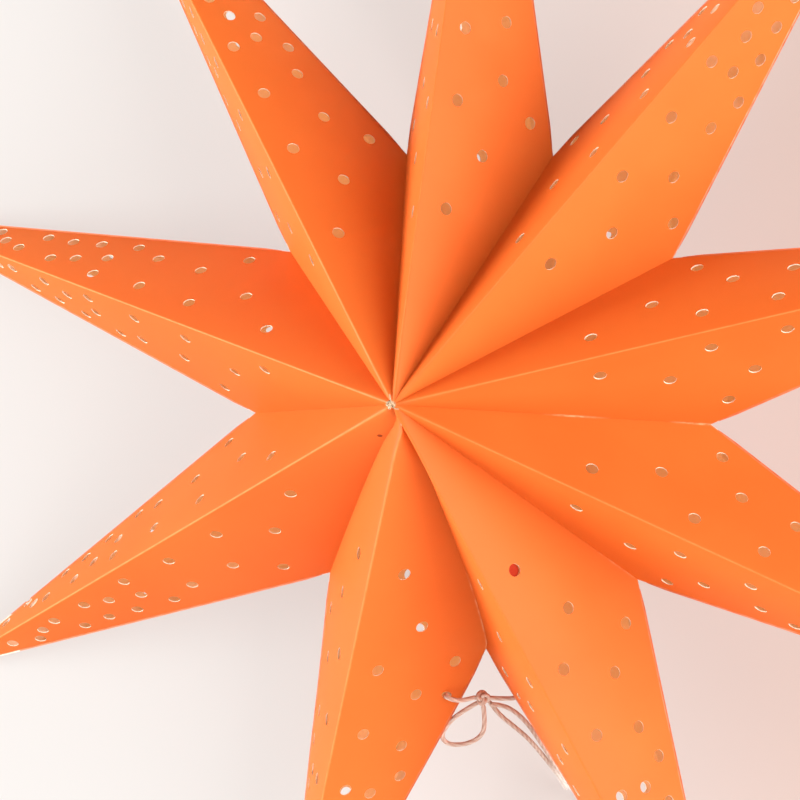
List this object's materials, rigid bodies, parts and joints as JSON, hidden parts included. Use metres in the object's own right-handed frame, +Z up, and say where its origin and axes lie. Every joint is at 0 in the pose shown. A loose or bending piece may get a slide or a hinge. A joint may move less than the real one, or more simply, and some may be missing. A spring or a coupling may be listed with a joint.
{
  "type": "folded paper star",
  "caption": "Folded paper star lantern with hollow arms, punched light holes and a tied closing seam, lying on its back.",
  "frame": {"origin": "where the knot at the star's back centre touches the ground", "axes": "+Z up as the star lies on its back knot and two arm tips, +X towards the raised arms"},
  "size_m": [0.5566, 0.5833, 0.1696],
  "materials": {
    "orange_paper": "matte card, orange outside and pale inside",
    "cotton_cord": "thin undyed cotton cord",
    "cotton_thread": "cream cotton thread"
  },
  "bodies": {
    "root": {"arm_1_front": "orange_paper", "arm_1_back": "orange_paper", "arm_2_front": "orange_paper", "arm_2_back": "orange_paper", "arm_3_front": "orange_paper", "arm_3_back": "orange_paper", "arm_4_front": "orange_paper", "arm_4_back": "orange_paper", "arm_5_front": "orange_paper", "arm_5_back": "orange_paper", "arm_6_front": "orange_paper", "arm_6_back": "orange_paper", "arm_7_front": "orange_paper", "arm_7_back": "orange_paper", "arm_8_front": "orange_paper", "arm_8_back": "orange_paper", "arm_9_front": "orange_paper", "arm_9_back": "orange_paper", "seam_cord_left": "cotton_cord", "seam_cord_right": "cotton_cord", "bow_knot": "cotton_cord", "bow_loop": "cotton_cord", "bow_tail_upper": "cotton_cord", "bow_tail_lower": "cotton_cord", "front_thread": "cotton_thread", "back_thread": "cotton_thread"}
  },
  "joints": []
}
